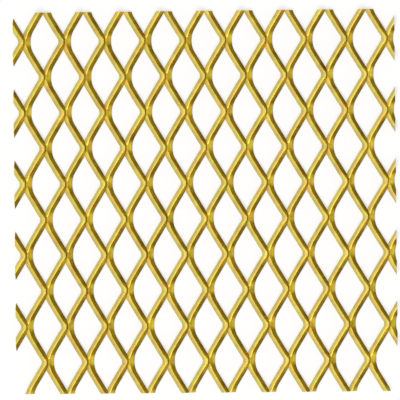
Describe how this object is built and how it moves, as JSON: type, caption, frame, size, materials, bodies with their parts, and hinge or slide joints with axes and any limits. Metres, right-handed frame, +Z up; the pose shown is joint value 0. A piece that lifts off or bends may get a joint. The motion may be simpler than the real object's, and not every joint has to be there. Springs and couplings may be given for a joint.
{
  "type": "expanded metal sheet",
  "caption": "Square cut of raised expanded metal: leaning brass strands, slit and drawn into diamond openings and joined at bonds, for guards, grilles and infill.",
  "frame": {"origin": "middle of the sheet's outline, on the level of the flats that it rests on", "axes": "+Z up from the floor, +X along the short way of the mesh, +Y along the long way"},
  "size_m": [0.15, 0.15, 0.0067],
  "materials": {
    "brass": "satin, bright on the sheared faces"
  },
  "bodies": {
    "root": {"expanded_sheet": "brass"}
  },
  "joints": []
}
